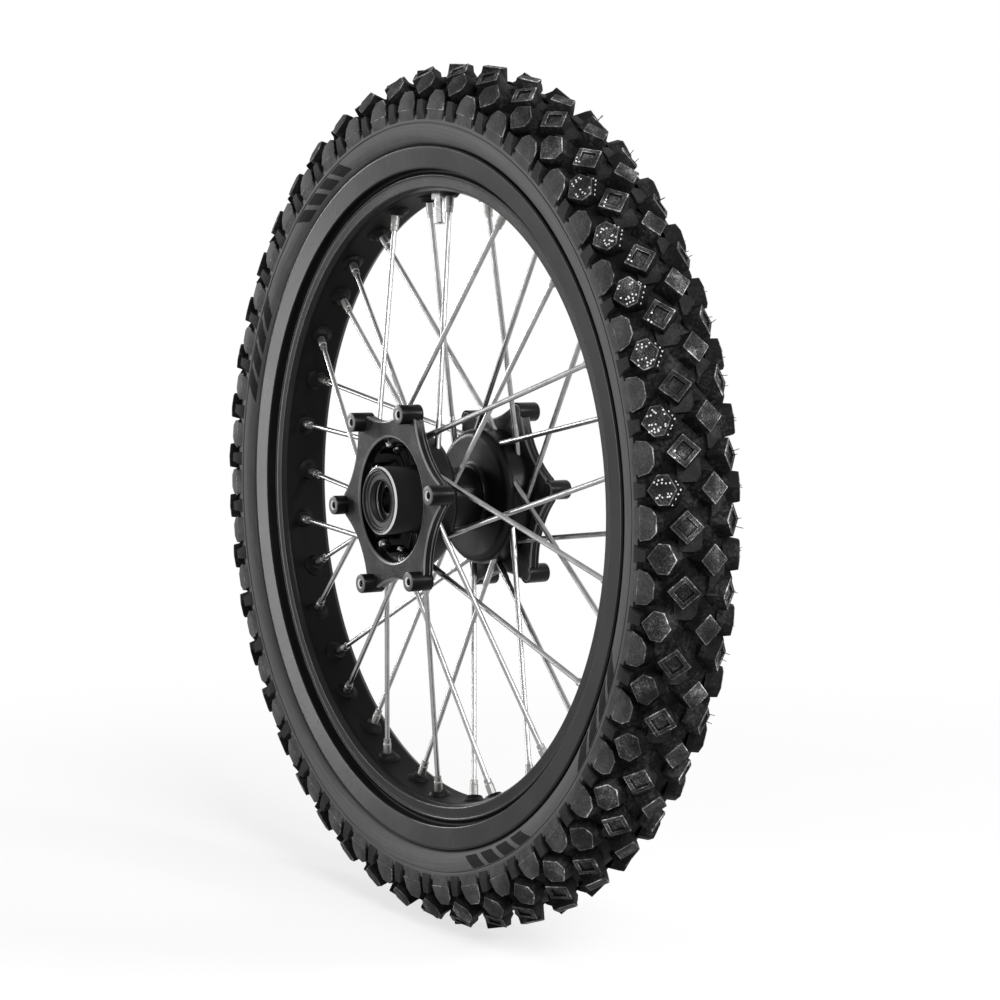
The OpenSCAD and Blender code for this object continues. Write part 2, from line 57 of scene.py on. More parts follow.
bl_info = {
    "name": "Spoked Wheel",
    "version": (1, 0, 0),
    "blender": (4, 5, 0),
    "location": "View3D > Sidebar > Wheel",
    "description": "Builds the knobbly tyre, rim, hub and stage of a spoked wheel on its CAD frame",
    "category": "Object",
}

MM = 0.001
WHEEL = "wheel"
NEAR, FAR = -1, 1
WHITE = "#ffffff"

# The casing in section, in millimetres: radius of its centre, its own radius and half of its flat
CASING_CENTRE, CASING, FLAT = 271, 29, 2.5

# Every finish by its short name, filled by main
FINISH = {}


def linear(code):
    """Linear colour of an sRGB hex code."""
    parts = [int(code[i : i + 2], 16) / 255 for i in (1, 3, 5)]
    return [p / 12.92 if p <= 0.04045 else ((p + 0.055) / 1.055) ** 2.4 for p in parts] + [1]


def as_length(name, description, size):
    """A length property that starts from a size in millimetres."""
    return FloatProperty(name=name, description=description, default=size * MM, unit="LENGTH")


def as_angle(name, description, turn):
    """An angle property that starts from a turn in degrees."""
    return FloatProperty(name=name, description=description, default=radians(turn), subtype="ANGLE")


def as_power(name, description, watts):
    """A light's power property."""
    return FloatProperty(name=name, description=description, default=watts, unit="POWER")


def as_colour(name, description, code):
    """A colour property that starts from an sRGB hex code."""
    default = linear(code)
    return FloatVectorProperty(name=name, description=description, default=default, size=4, subtype="COLOR")


class WheelTyre(bpy.types.PropertyGroup):
    """Sizes of the tyre, as in the CAD source."""

    crown_centre: as_length("Crown Centre", "Radius at which the knob tops' crown is centred", 278)
    crown: as_length("Crown", "Radius of the crown that the knob tops follow", 33)
    casing_centre: as_length("Casing Centre", "Radius at which the casing is centred", CASING_CENTRE)
    casing: as_length("Casing", "Radius of the casing's rounded sides", CASING)
    flat: as_length("Flat", "Half width of the flat between the rounded sides", FLAT)
    pitches: IntProperty(name="Pitches", description="Knobs in one row", default=44, min=36, max=46)
    phase: as_angle("Phase", "Angle of a centre knob from +X", 4.8)
    stagger: as_length("Stagger", "Shift of every other inner knob along the tread", 1.6)
    rise: as_length("Outer Rise", "Height of the outer knobs over the crown", 2.4)
    draft: as_angle("Draft", "Slope of the knobs' walls", 9)
    edge: as_length("Edge", "Round on the knobs' edges", 0.5)


class WheelColours(bpy.types.PropertyGroup):
    """Darkest and lightest tone of the finishes on offer."""

    rim_dark: as_colour("Rim Dark", "Darkest tone of the rim", "#131313")
    rim_light: as_colour("Rim Light", "Lightest tone of the rim", "#1e1e1e")
    hub_dark: as_colour("Hub Dark", "Darkest tone of the hub's coating", "#060606")
    hub_light: as_colour("Hub Light", "Lightest tone of the hub's coating", "#101010")
    spoke_dark: as_colour("Spoke Dark", "Darkest tone of the spokes' plating", "#8c8c8c")
    spoke_light: as_colour("Spoke Light", "Lightest tone of the spokes' plating", "#a8a8a8")


class WheelStage(bpy.types.PropertyGroup):
    """Camera, surroundings and lights."""

    azimuth: as_angle("Azimuth", "Camera's turn from the near face towards +X", 58.206)
    elevation: as_angle("Elevation", "Camera's height angle", 4.361)
    distance: as_length("Distance", "Camera to wheel centre", 1598.19)
    focal: FloatProperty(name="Focal", description="Focal length in picture widths", default=2.18789)
    centre: FloatVectorProperty(
        name="Centre",
        description="Wheel centre from the picture's middle, in picture widths",
        size=2,
        default=(-0.05204, 0.00257),
    )
    key: as_power("Key", "Power of the key light", 85)
    front: as_power("Front", "Power of the light before the near face", 14)
    side: as_power("Side", "Power of the light from the left", 30)
    back: as_power("Back", "Power of the light behind the wheel", 20)
    ambient: FloatProperty(name="Ambient", description="Brightness of the surroundings", default=0.2)


def add(tree, kind, inputs=None, **settings):
    """Adds a node, applies its settings, and sets or links its inputs."""
    node = tree.nodes.new(kind)
    for key, value in settings.items():
        setattr(node, key, value)
    for key, value in (inputs or {}).items():
        if isinstance(value, bpy.types.NodeSocket):
            tree.links.new(value, node.inputs[key])
        else:
            node.inputs[key].default_value = value
    return node


def start(name, **constants):
    """An empty material with its tree, its shader and its Object coordinates."""
    material = bpy.data.materials.new(name)
    material.use_nodes = True
    tree = material.node_tree
    shader = tree.nodes["Principled BSDF"]
    for key, value in constants.items():
        shader.inputs[key.replace("_", " ")].default_value = value
    place = tree.nodes.new("ShaderNodeTexCoord").outputs["Object"]
    return material, tree, shader, place


def per_size(size):
    """Noise scale whose spots are about a size in millimetres."""
    return 1 / (size * MM)


def dress(tree, shader, stops, tone, wear=None, rough=None, height=None, depth=0):
    """Colours a shader from a tone; where given, roughens it from a wear and bumps it from a height.

    Stops are (place, colour) by hex code or linear value, and depth is in millimetres.
    """
    colours = add(tree, "ShaderNodeValToRGB", {"Fac": tone})
    elements = colours.color_ramp.elements
    while len(elements) < len(stops):
        elements.new(1)
    for element, (place, colour) in zip(elements, stops):
        element.position = place
        element.color = linear(colour) if isinstance(colour, str) else colour
    tree.links.new(colours.outputs["Color"], shader.inputs["Base Color"])
    if rough:
        low, high = rough
        spread = add(tree, "ShaderNodeMapRange", {"Value": wear, "To Min": low, "To Max": high})
        tree.links.new(spread.outputs["Result"], shader.inputs["Roughness"])
    if height:
        bump = add(tree, "ShaderNodeBump", {"Height": height, "Distance": depth * MM, "Strength": 1})
        tree.links.new(bump.outputs["Normal"], shader.inputs["Normal"])


def turned(tree, place, slow):
    """Coordinates that run slowly around the axle, for marks left by turning or moulding."""
    parts = add(tree, "ShaderNodeSeparateXYZ", {"Vector": place}).outputs
    flat = add(tree, "ShaderNodeCombineXYZ", {"X": parts["X"], "Z": parts["Z"]}).outputs["Vector"]
    away = add(tree, "ShaderNodeVectorMath", {0: flat}, operation="LENGTH").outputs["Value"]
    along = add(tree, "ShaderNodeVectorMath", {0: flat, "Scale": slow}, operation="SCALE").outputs["Vector"]
    inward = add(tree, "ShaderNodeCombineXYZ", {"X": away, "Y": parts["Y"]}).outputs["Vector"]
    return add(tree, "ShaderNodeVectorMath", {0: along, 1: inward}, operation="ADD").outputs["Vector"]


def mean(tree, first, second):
    """The mean of two values."""
    both = add(tree, "ShaderNodeMath", {0: first, 1: second}, operation="ADD").outputs["Value"]
    return add(tree, "ShaderNodeMath", {0: both, 1: 0.5}, operation="MULTIPLY").outputs["Value"]


# Sizes of the patterns in millimetres. True grain is under 0.3 and would not show, so it is drawn larger.
BLOOM, WALL_BLOOM, WEAR = 16.7, 45.5, 35.7
MOULD_RING, HATCH = 1.11, 1.395
FLOOR_CLOUD = 333
# How much of the run round the axle is left in marks of the mould and of a cutting tool
ROUND_MOULD, ROUND_CUT = 0.04, 0.05


def grained(name, stops, grain, rough=(0.55, 0.8), depth=0.25, specular=0.3):
    """Moulded rubber or a rough casting: mottled by dust and bloom, with a pebbled skin."""
    material, tree, shader, place = start(name, Specular_IOR_Level=specular)
    inputs = {"Vector": place, "Scale": per_size(BLOOM), "Detail": 3, "Roughness": 0.6}
    broad = add(tree, "ShaderNodeTexNoise", inputs).outputs["Fac"]
    inputs = {"Vector": place, "Scale": per_size(grain), "Detail": 5, "Roughness": 0.7}
    fine = add(tree, "ShaderNodeTexNoise", inputs).outputs["Fac"]
    dress(tree, shader, stops, mean(tree, fine, broad), fine, rough, fine, depth)
    return material


def sidewall_rubber(name):
    """Sidewall skin: faint rings from the mould and a soft grey bloom."""
    material, tree, shader, place = start(name, Specular_IOR_Level=0.36)
    where = turned(tree, place, ROUND_MOULD)
    inputs = {"Vector": where, "Scale": per_size(MOULD_RING), "Detail": 3, "Roughness": 0.6}
    rings = add(tree, "ShaderNodeTexNoise", inputs).outputs["Fac"]
    inputs = {"Vector": place, "Scale": per_size(WALL_BLOOM), "Detail": 4, "Roughness": 0.6}
    cloud = add(tree, "ShaderNodeTexNoise", inputs).outputs["Fac"]
    stops = [(0.3, "#1b1b1b"), (0.5, "#2e2e2e"), (0.72, "#474747")]
    dress(tree, shader, stops, mean(tree, rings, cloud), cloud, (0.58, 0.74), rings, depth=0.12)
    return material


def hatched_rubber(name):
    """Hatched patch of the mould: fine slanted lines, darker than the wall round it."""
    material, tree, shader, place = start(name, Specular_IOR_Level=0.08, Roughness=0.72)
    # A diagonal wave turns by 10 radians for each metre along each axis
    bands = 2 * pi / (10 * sqrt(3) * HATCH * MM)
    inputs = {"Vector": place, "Scale": bands, "Distortion": 0.4}
    lines = add(tree, "ShaderNodeTexWave", inputs, bands_direction="DIAGONAL").outputs["Fac"]
    dress(tree, shader, [(0.2, "#0a0a0a"), (0.8, "#1c1c1c")], lines, height=lines, depth=0.3)
    return material


def coated(name, stops, rough, depth, specular, grain=1.11):
    """Black finish on metal: satin, with a fine grain and slight wear."""
    material, tree, shader, place = start(name, Specular_IOR_Level=specular)
    inputs = {"Vector": place, "Scale": per_size(grain), "Detail": 4, "Roughness": 0.65}
    skin = add(tree, "ShaderNodeTexNoise", inputs).outputs["Fac"]
    inputs = {"Vector": place, "Scale": per_size(WEAR), "Detail": 3, "Roughness": 0.6}
    cloud = add(tree, "ShaderNodeTexNoise", inputs).outputs["Fac"]
    dress(tree, shader, stops, cloud, cloud, rough, skin, depth)
    return material


def bare_metal(name, stops, rough, slow=None, grain=4.17, depth=0.04):
    """Bare or plated metal: fine lines along the cut or a cloudy plating."""
    material, tree, shader, place = start(name, Metallic=1)
    where = place if slow is None else turned(tree, place, slow)
    inputs = {"Vector": where, "Scale": per_size(grain), "Detail": 4, "Roughness": 0.6}
    lines = add(tree, "ShaderNodeTexNoise", inputs).outputs["Fac"]
    dress(tree, shader, stops, lines, lines, rough, lines, depth)
    return material


def finishes(colours):
    """Every finish on the wheel, by its short name."""
    tread_top = [(0.41, "#070707"), (0.48, "#1a1a1a"), (0.55, "#323232"), (0.65, "#747474")]
    tread_wall = [(0.4, "#050505"), (0.52, "#111111"), (0.64, "#303030")]
    tread_edge_highlight = [(0.42, "#141414"), (0.52, "#4c4c4c"), (0.62, "#b4b4b4")]
    shoulder = [(0.36, "#151515"), (0.48, "#2c2c2c"), (0.6, "#444444"), (0.76, "#6c6c6c")]
    gap = [(0.36, "#0a0a0a"), (0.5, "#1a1a1a"), (0.66, "#2e2e2e")]
    pip = [(0.4, "#b4b4b4"), (0.7, "#e4e4e4")]
    rim = [(0.3, colours.rim_dark), (0.7, colours.rim_light)]
    bed = [(0.3, "#070707"), (0.7, "#0e0e0e")]
    hub = [(0.3, colours.hub_dark), (0.7, colours.hub_light)]
    star = [(0.4, "#080808"), (0.5, "#171717"), (0.64, "#444444")]
    boss_end = [(0.3, "#303030"), (0.7, "#484848")]
    star_edge_highlight = [(0.3, "#505050"), (0.7, "#7c7c7c")]
    seat = [(0.3, "#080808"), (0.7, "#101010")]
    machined = [(0.35, "#b6b6b6"), (0.65, "#dedede")]
    zinc = [(0.3, colours.spoke_dark), (0.7, colours.spoke_light)]
    nickel = [(0.3, "#80807e"), (0.7, "#9e9e9c")]
    brass = [(0.35, "#a98a4a"), (0.65, "#cdb06c")]
    bearing = [(0.35, "#9a9c9e"), (0.65, "#c6c8ca")]
    shield = [(0.35, "#86888a"), (0.65, "#aeb0b2")]
    seal = [(0.3, "#141414"), (0.7, "#2a2a2a")]
    tube = [(0.3, "#151515"), (0.7, "#2a2a2a")]
    return {
        # Top of a new knob: dull mould skin with specks of dust
        "tread_top": grained("tread_rubber_top", tread_top, 1.05, depth=0.9, specular=0.12),
        # Walls and floor of the tread: clean black rubber
        "tread_wall": grained("tread_rubber_wall", tread_wall, 2.38, specular=0.06),
        # Light edge of a knob: a painted highlight along its rounded edge
        "tread_edge_highlight": grained("tread_rubber_edge", tread_edge_highlight, 3.85),
        # Shoulder knobs and their ramps: greyer than the tread and evenly grained
        "shoulder": grained("shoulder_rubber", shoulder, 1.43, depth=0.4, specular=0.18),
        # Teeth and ties between the knobs: painted dark as shade, with little dust
        "gap": grained("shaded_rubber", gap, 1.43, specular=0.08),
        # Sidewalls: satin grey with faint rings
        "sidewall": sidewall_rubber("sidewall_rubber"),
        # Slanted bars in the sidewall: dark and finely lined
        "patch": hatched_rubber("hatched_rubber"),
        # Pale near-white spots on knobs of one stretch of the near tread
        "pip": grained("vent_spot_rubber", pip, 1.11),
        # Anodised aluminium of the rim: smooth black with soft highlights
        "rim": coated("black_anodised_aluminium", rim, (0.2, 0.28), depth=0.03, specular=0.11),
        # The rim's bed and groove: rougher than its turned flanges, and painted darker as shade
        "bed": coated("dull_anodised_aluminium", bed, (0.5, 0.62), depth=0.06, specular=0.06),
        # Coated casting of the hub: deep satin black
        "hub": coated("black_coated_casting", hub, (0.24, 0.34), depth=0.1, specular=0.12, grain=1.43),
        # The same casting on the stars' faces: rougher and flecked
        "star": grained("rough_coated_casting", star, 0.91, (0.4, 0.55), depth=0.5, specular=0.14),
        # Ends of the bosses: grey where the coating is faced off thin
        "boss": coated("faced_coated_casting", boss_end, (0.34, 0.46), depth=0.06, specular=0.3, grain=1.43),
        # Edges of the stars: painted pale as a highlight on their rounded corners
        "star_edge_highlight": coated("rubbed_coated_casting", star_edge_highlight, (0.3, 0.42), depth=0.06, specular=0.3, grain=1.43),
        # Nipple seats: black, painted dark as shade like the bed round them
        "seat": coated("rubbed_anodised_aluminium", seat, (0.4, 0.52), depth=0.04, specular=0.08),
        # Turned metal: bright on the hub's nose, spacer, valve and spoke heads
        "machined": bare_metal("turned_aluminium", machined, (0.2, 0.34), ROUND_CUT),
        # Spoke wire: smooth pale zinc
        "zinc": bare_metal("zinc_plated_steel", zinc, (0.26, 0.36), grain=11.1, depth=0.01),
        # Nipples: dull warm grey nickel
        "nickel": bare_metal("nickel_plated_brass", nickel, (0.36, 0.48), grain=8.33, depth=0.01),
        # Valve core, its pin and the bearing cages: plain yellow brass
        "brass": bare_metal("plain_brass", brass, (0.22, 0.36), grain=6.25),
        # Bearing rings and balls: ground and bright
        "bearing": bare_metal("ground_bearing_steel", bearing, (0.12, 0.24), ROUND_CUT),
        # Bearing shields: duller pressed steel
        "shield": bare_metal("pressed_steel", shield, (0.28, 0.42), ROUND_CUT),
        # Oil seals: dark even nitrile
        "seal": grained("nitrile_rubber", seal, 1.11, (0.45, 0.6), depth=0.1),
        # Tube and rim strip: soft black rubber
        "tube": grained("tube_rubber", tube, 2),
    }


def piece(name, bm, materials, sharp=radians(32)):
    """A mesh object on the wheel, smooth apart from edges sharper than an angle."""
    bmesh.ops.recalc_face_normals(bm, faces=bm.faces)
    mesh = bpy.data.meshes.new(name)
    bm.to_mesh(mesh)
    bm.free()
    for material in materials:
        mesh.materials.append(material)
    mesh.shade_smooth()
    mesh.set_sharp_from_angle(angle=sharp)
    thing = bpy.data.objects.new(name, mesh)
    bpy.context.scene.collection.objects.link(thing)
    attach(thing, WHEEL)
    return thing


def at_angle(angle):
    """Turn about the axle, from +X towards +Z."""
    return Matrix.Rotation(-angle, 4, "Y")


def reach(point):
    """Distance of a point from the axle, in millimetres."""
    return hypot(point.x, point.z) / MM


def join(whole, part):
    """Adds one mesh's geometry to another and frees it."""
    spare = bpy.data.meshes.new("spare")
    part.to_mesh(spare)
    part.free()
    whole.from_mesh(spare)
    bpy.data.meshes.remove(spare)


def repeat(bm, count):
    """Copies a mesh round the axle, count in a turn."""
    geom = bm.verts[:] + bm.edges[:] + bm.faces[:]
    angle = 2 * pi * (count - 1) / count
    bmesh.ops.spin(bm, geom=geom, axis=(0, 1, 0), angle=angle, steps=count - 1, use_duplicate=True)


def swept(points, steps, axis=(0, 1, 0), centre=(0, 0, 0), closed=False):
    """A line of points spun a full turn about an axis."""
    bm = bmesh.new()
    verts = [bm.verts.new(point) for point in points]
    ahead = verts[1:] + verts[:1] if closed else verts[1:]
    geom = verts + [bm.edges.new(pair) for pair in zip(verts, ahead)]
    bmesh.ops.spin(bm, geom=geom, cent=centre, axis=axis, angle=2 * pi, steps=steps, use_merge=True)
    return bm


def spun(section, steps):
    """A closed section of (radius, across) in millimetres, turned about the axle."""
    return swept([(r * MM, y * MM, 0) for r, y in section], steps, closed=True)


def turned_part(wall, foot, way, steps):
    """A turned shape of (radius, height) on a foot in millimetres, standing along a direction."""
    bm = swept([(r * MM, 0, h * MM) for r, h in wall], steps, axis=(0, 0, 1))
    bmesh.ops.remove_doubles(bm, verts=bm.verts, dist=1e-7)
    turn = way.to_track_quat("Z", "Y").to_matrix().to_4x4()
    bmesh.ops.transform(bm, matrix=Matrix.Translation(foot * MM) @ turn, verts=bm.verts)
    return bm


def lofted(rings, closed=False):
    """A skin bridged through rings of points, and the rings' vertices."""
    bm = bmesh.new()
    corners = [[bm.verts.new(point) for point in ring] for ring in rings]
    loops = []
    for ring in corners:
        ahead = ring[1:] + ring[:1] if closed else ring[1:]
        loops.append([bm.edges.new(pair) for pair in zip(ring, ahead)])
    follow = loops[1:] + loops[:1] if closed else loops[1:]
    for first, second in zip(loops, follow):
        bmesh.ops.bridge_loops(bm, edges=first + second)
    return bm, corners


def arc(r, y, radius, first, last, steps):
    """Points of an arc in section, angles in degrees from outward towards the near side."""
    turns = [radians(first + (last - first) * i / steps) for i in range(steps + 1)]
    return [(r + radius * cos(a), y - radius * sin(a)) for a in turns]


# The near half of the tyre's outside in section, from the crown to the bead
CROWN_SIDE = arc(CASING_CENTRE, -FLAT, CASING, 0, 72, 12)
WALL_TOP = [(277.6, -30.9), (275.8, -31.7), (274.2, -32.1), (269.4, -32.4)]
MOULD_LINE = [(268.8, -32.25), (268.5, -31.7), (268.0, -31.7), (267.7, -32.1)]
WALL_FOOT = [(266.0, -32.0), (262.0, -31.4), (258.0, -29.9), (255.6, -28.4), (254.3, -26.9), (253.7, -25.5)]
BEAD_SEAT = [(252.0, -24.5), (246.0, -20.5), (241.8, -20.0)]
SIDE = [(CASING_CENTRE + CASING, 0)] + CROWN_SIDE + WALL_TOP + MOULD_LINE + WALL_FOOT + BEAD_SEAT
# Its inside, from the bead's heel to the crown
BEAD_HEEL = [(241.8, -13.0), (249.0, -16.4)]
HOLLOW = 24
INSIDE = BEAD_HEEL + arc(CASING_CENTRE, -FLAT, HOLLOW, 118, 0, 14) + [(CASING_CENTRE + HOLLOW, 0)]
# The sidewall's skin ends at this radius and is at least this far from the middle
SKIN_TOP, SKIN_LEVEL = 272, 10

# Groups of four slanted bars in the sidewalls, as (first angle, lean) in degrees
BAR_GROUPS = ((110, 2.8), (148.8, -2.8), (286, 2.8), (325, -2.8))
BARS, BAR_STEP, BAR_WIDTH = 4, 4.6, 3.3
BAR_FOOT, BAR_HEIGHT, BAR_RELIEF = 257.4, 9.8, 0.18
BAR_ROWS, BAR_COLUMNS = 8, 3


def wall_y(r):
    """Across place of the near sidewall's outside at a radius, in millimetres."""
    for (r0, y0), (r1, y1) in zip(SIDE, SIDE[1:]):
        if r1 <= r <= r0:
            return y0 + (y1 - y0) * (r0 - r) / (r0 - r1)
    raise ValueError(f"no sidewall at radius {r}")


def slanted_bar(side, first, lean):
    """One hatched bar moulded in a sidewall, from an angle in degrees."""
    lines = []
    for i in range(BAR_ROWS + 1):
        t = i / BAR_ROWS
        r = BAR_FOOT + BAR_HEIGHT * t
        y = -side * (wall_y(r) - BAR_RELIEF)
        start_turn = first + lean * t
        turns = [radians(start_turn + BAR_WIDTH * j / BAR_COLUMNS) for j in range(BAR_COLUMNS + 1)]
        lines.append([(r * MM * cos(a), y * MM, r * MM * sin(a)) for a in turns])
    return lofted(lines)[0]


class WHEEL_OT_casing(bpy.types.Operator):
    """Builds the tyre's casing with its sidewalls, slanted bars and beads"""

    bl_idname = "wheel.casing"
    bl_label = "Casing"

    def execute(self, context):
        near = SIDE + INSIDE
        far = [(r, -y) for r, y in reversed(near[1:-1])]
        bm = spun(near + far, steps=264)
        for f in bm.faces:
            middle = f.calc_center_median()
            f.material_index = 0 if reach(middle) < SKIN_TOP and abs(middle.y) > SKIN_LEVEL * MM else 1
        rubbers = [FINISH["sidewall"], FINISH["tread_wall"]]
        casing = piece("tyre_casing", bm, rubbers, sharp=radians(50))
        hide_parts("tyre")
        bars = bmesh.new()
        for first, lean in BAR_GROUPS:
            for side in (NEAR, FAR):
                for k in range(BARS):
                    join(bars, slanted_bar(side, first + BAR_STEP * k, lean))
        piece("sidewall_patches", bars, [FINISH["patch"]])
        return {"FINISHED"}


# Material places on a knob; the edge place is a painted highlight
TOP, WALL, EDGE = 0, 1, 2
# Tops of the knobs in millimetres, with x to the shoulder and y along the tread, and their rows' leans
CENTRE = [(10.2, 0), (0, 10.2), (-10.2, 0), (0, -10.2)]
INNER = [(10.6, 0), (0, 10.6), (-10.6, 0), (0, -10.6)]
OUTER = [(9.8, 0), (2.8, 9.4), (-4.2, 9.4), (-9.8, 0), (-4.2, -9.4), (2.8, -9.4)]
SHOULDER = [(6.6, 11.2), (-2.4, 9.8), (-7.4, 5.0), (-7.4, -5.0), (-2.4, -9.8), (6.6, -11.2)]
INNER_LEAN, OUTER_LEAN, SHOULDER_LEAN = radians(33), radians(58), radians(79)
# Depth of a knob's foot in the casing, and edge widths below the top that still are its edge
KNOB_ROOT, EDGE_SHARE = 2.5, 1.2
# How upright the normal of a level face is at least
LEVEL = 0.99
# The border round a recess in a knob's top, then the recess as (step inward, step down, material place)
BORDER = 3.0
# The recess's first step takes the edge place, a painted highlight
RECESS = ((0.3, -0.1, EDGE), (0.5, -1.4, WALL), (0.9, 0, WALL))
# Blocks over the casing as (lean in degrees, half width, height), with the flare and sink of their feet
TOOTH = ((66, 3.4, 5.0), (78, 4.2, 3.0), (88, 5.4, 1.3), (95, 6.2, 0.1))
RAMP = ((72, 9.2, 2.0), (77.4, 9.8, 2.7), (85, 9.6, 1.8), (97, 9.4, 0.1))
TIE = ((2, 7.0, 2.4), (16, 7.4, 3.0), (31, 7.0, 2.4))
FOOT_FLARE, FOOT_SINK = 0.9, 1.5
# A tie's place between a centre knob and the next, in pitches
TIE_SHIFT = 0.27


def row_place(tyre, lean, side, rise=0):
    """Frame of a knob's top at angle 0: x to the shoulder, y along the tread, z outward."""
    out = Vector((cos(lean), side * sin(lean), 0))
    to_shoulder = Vector((-sin(lean), side * cos(lean), 0))
    along = out.cross(to_shoulder)
    top = Vector((tyre.crown_centre, 0, 0)) + out * (tyre.crown + rise)
    return Matrix.Translation(top) @ Matrix((to_shoulder, along, out)).transposed().to_4x4()


def knob_depth(tyre, lean):
    """Depth of the casing below a knob's top."""
    off = tyre.crown_centre - tyre.casing_centre
    ahead = off * cos(lean) - tyre.flat * sin(lean)
    return tyre.crown + ahead - sqrt(ahead**2 - off**2 - tyre.flat**2 + tyre.casing**2)


def knob(tyre, outline, lean, recessed, rise):
    """One drafted knob with rounded edges, its top in the plane z = 0."""
    bm = bmesh.new()
    depth = knob_depth(tyre, lean) + rise + KNOB_ROOT * MM
    half = max(abs(y) for x, y in outline) * MM
    flare = 1 + depth * sin(tyre.draft) / half
    top = [bm.verts.new((x * MM, y * MM, 0)) for x, y in outline]
    cap = bm.faces.new(top)
    bmesh.ops.extrude_edge_only(bm, edges=cap.edges)
    root = [v for v in bm.verts if v not in top]
    bmesh.ops.scale(bm, vec=(flare, flare, 1), verts=root)
    bmesh.ops.translate(bm, vec=(0, 0, -depth), verts=root)
    for f in bm.faces:
        f.material_index = TOP if f == cap else WALL
    edges = [e for e in bm.edges if e.verts[0] in top or e.verts[1] in top]
    rounding = {"offset": tyre.edge, "affect": "EDGES", "segments": 2, "profile": 0.5}
    made = bmesh.ops.bevel(bm, geom=edges, material=-1, clamp_overlap=True, **rounding)
    # The upper part of each rounded edge is painted light as a highlight
    for f in made["faces"]:
        f.material_index = EDGE if f.calc_center_median().z > -EDGE_SHARE * tyre.edge else WALL
    if recessed:
        level = [f for f in bm.faces if abs(f.normal.z) > LEVEL]
        cap = max(level, key=lambda f: f.calc_area())
        bmesh.ops.inset_individual(bm, faces=[cap], thickness=BORDER * MM)
        for width, drop, place in RECESS:
            made = bmesh.ops.inset_individual(bm, faces=[cap], thickness=width * MM, depth=drop * MM)
            for f in made["faces"]:
                f.material_index = place
    return bm


def row(name, tyre, materials, outline, lean, angles, sides=(NEAR, FAR), recessed=False, rise=0):
    """A full row of knobs on each side, shared among the angles of its first knobs."""
    whole = bmesh.new()
    for side in sides:
        for angle in angles:
            bm = knob(tyre, outline, lean, recessed, rise)
            place = at_angle(angle) @ row_place(tyre, lean, side, rise)
            bmesh.ops.transform(bm, matrix=place, verts=bm.verts)
            repeat(bm, tyre.pitches // len(angles))
            join(whole, bm)
    return piece(name, whole, materials)


def casing_point(tyre, lean, side, along, height):
    """A point at a height over the casing, by lean and distance along the tread."""
    away = tyre.casing + height * MM
    return Vector((tyre.casing_centre + away * cos(lean), side * (tyre.flat + away * sin(lean)), along * MM))


def block(tyre, side, angle, stations):
    """A drafted block over the casing through its stations, one for each pitch."""
    rings = []
    for lean, half, height in stations:
        foot = half + FOOT_FLARE
        corners = ((-foot, -FOOT_SINK), (-half, height), (half, height), (foot, -FOOT_SINK))
        rings.append([casing_point(tyre, radians(lean), side, along, level) for along, level in corners])
    bm, rings = lofted(rings)
    bm.faces.new(rings[0])
    bm.faces.new(rings[-1])
    bmesh.ops.transform(bm, matrix=at_angle(angle), verts=bm.verts)
    repeat(bm, tyre.pitches)
    return bm


class WHEEL_OT_tread(bpy.types.Operator):
    """Builds the seven rows of knobs, the teeth and ramps at the shoulders and the ties between knobs"""

    bl_idname = "wheel.tread"
    bl_label = "Tread"

    def execute(self, context):
        tyre = context.scene.wheel_tyre
        rubbers = [FINISH["tread_top"], FINISH["tread_wall"], FINISH["tread_edge_highlight"]]
        step = 2 * pi / tyre.pitches
        shift = tyre.stagger / (tyre.crown_centre + tyre.crown)
        line, between = tyre.phase, tyre.phase + step / 2
        row("tread_centre", tyre, rubbers, CENTRE, 0, [line], sides=(NEAR,))
        for name, side in (("tread_inner_near", NEAR), ("tread_inner_far", FAR)):
            angles = [between - side * shift, between + step + side * shift]
            row(name, tyre, rubbers, INNER, INNER_LEAN, angles, sides=(side,), recessed=True)
        row("tread_outer", tyre, rubbers, OUTER, OUTER_LEAN, [line], rise=tyre.rise)
        rubbers[TOP] = FINISH["shoulder"]
        row("tread_shoulder", tyre, rubbers, SHOULDER, SHOULDER_LEAN, [between])
        teeth, ramps, ties = bmesh.new(), bmesh.new(), bmesh.new()
        for side in (NEAR, FAR):
            join(teeth, block(tyre, side, line, TOOTH))
            join(ramps, block(tyre, side, between, RAMP))
            join(ties, block(tyre, side, line - side * TIE_SHIFT * step, TIE))
        # Teeth and ties are painted dark as shade
        piece("tread_teeth", teeth, [FINISH["gap"]])
        piece("tread_ramps", ramps, [FINISH["shoulder"]])
        piece("tread_ties", ties, [FINISH["gap"]])
        return {"FINISHED"}


# Knobs with spots and knobs with hairs, counted from the phase, and hairs on one knob
SPOTTED, HAIRY, HAIRS = range(6), range(-4, 7), 2
# Pale spots, in millimetres: radius, and height against it
SPOT, SPOT_HEIGHT = 0.74, 0.5
# Places on an outer knob's top before they are shifted, how far and how many are kept
SPOTS_ACROSS, SPOTS_ALONG = (-5.4, -3.0, -0.4, 2.2, 4.4), (-6.6, -4.2, 2.4, 4.8, 6.8)
SPOT_SHIFT, SPOTS_KEPT = 0.9, 0.74
# The top's half length at its middle, and its loss for each millimetre across
TOP_HALF, TOP_LOSS = 8.2, 0.4
# Places along the outer knob's inner wall, how far they are shifted, the wall's middle, slope and depth
WALL_SPOTS, WALL_SHIFT = (-5, -2.4, 0.4, 3.2, 6, 8.8), 0.6
WALL_MIDDLE, WALL_SLOPE, WALL_DEPTH = -10.8, 0.66, -4
# Places on an inner knob's top and how many are kept
INNER_SPOTS, INNER_KEPT = ((7.4, 0.4), (6.0, 2.2), (4.2, -3.6), (5.6, -2.0)), 0.7
# Vent hairs, in millimetres: radii of the foot and tip, shortest and longest, spread and tilt
HAIR_FOOT, HAIR_TIP = 0.32, 0.2
HAIR_SHORT, HAIR_LONG = 3.5, 5.4
HAIR_SPREAD, HAIR_TILT = 4, 0.25


